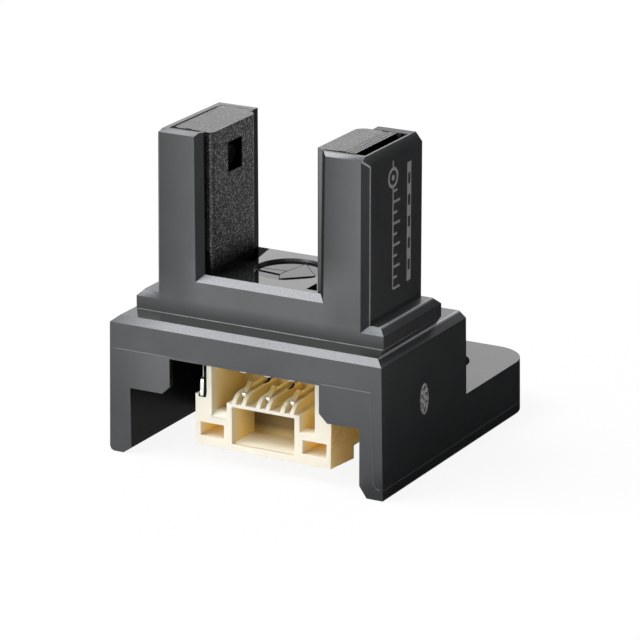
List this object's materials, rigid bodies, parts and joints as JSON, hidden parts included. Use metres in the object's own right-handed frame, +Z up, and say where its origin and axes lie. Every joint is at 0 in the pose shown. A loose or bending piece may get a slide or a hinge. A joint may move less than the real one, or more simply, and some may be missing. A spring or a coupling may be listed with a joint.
{
  "type": "slot photoelectric sensor",
  "caption": "Miniature slot-type photoelectric sensor: upright arms either side of a sensing slot, a screw ear behind and a plug connector under the base.",
  "frame": {"origin": "centre of the ear's screw hole, in the plane of the face that the sensor is screwed down on", "axes": "+Z up along the screw hole, towards the arms' tips; +X from the emitter's arm to the receiver's arm; +Y from the plug's side towards the ear, the way the plug goes in"},
  "size_m": [0.0136, 0.0147, 0.0149],
  "materials": {
    "case_plastic": "satin moulded",
    "holder_plastic": "fine textured",
    "emitter_resin": "clear dark infrared resin",
    "receiver_resin": "black infrared resin",
    "chip_silicon": "polished die",
    "lead_metal": "tinned",
    "board_laminate": "solder mask over glass laminate",
    "solder": "bright solder",
    "connector_plastic": "natural nylon",
    "contact_metal": "tinned phosphor bronze",
    "chip_part_dark": "printed resistor body",
    "chip_part_tan": "ceramic capacitor body"
  },
  "bodies": {
    "root": {"case": "case_plastic", "emitter_holder": "holder_plastic", "receiver_holder": "holder_plastic", "emitter_led": "emitter_resin", "receiver_ic": "receiver_resin", "emitter_chip": "chip_silicon", "receiver_chip": "chip_silicon", "emitter_lead_anode": "lead_metal", "emitter_lead_cathode": "lead_metal", "receiver_lead_supply": "lead_metal", "receiver_lead_output": "lead_metal", "receiver_lead_ground": "lead_metal", "circuit_board": "board_laminate", "lead_solder": "solder", "connector_housing": "connector_plastic", "contact_1": "contact_metal", "contact_2": "contact_metal", "contact_3": "contact_metal", "solder_tab_left": "contact_metal", "solder_tab_right": "contact_metal", "emitter_resistor": "chip_part_dark", "pull_up_resistor": "chip_part_dark", "bypass_capacitor": "chip_part_tan"}
  },
  "joints": []
}
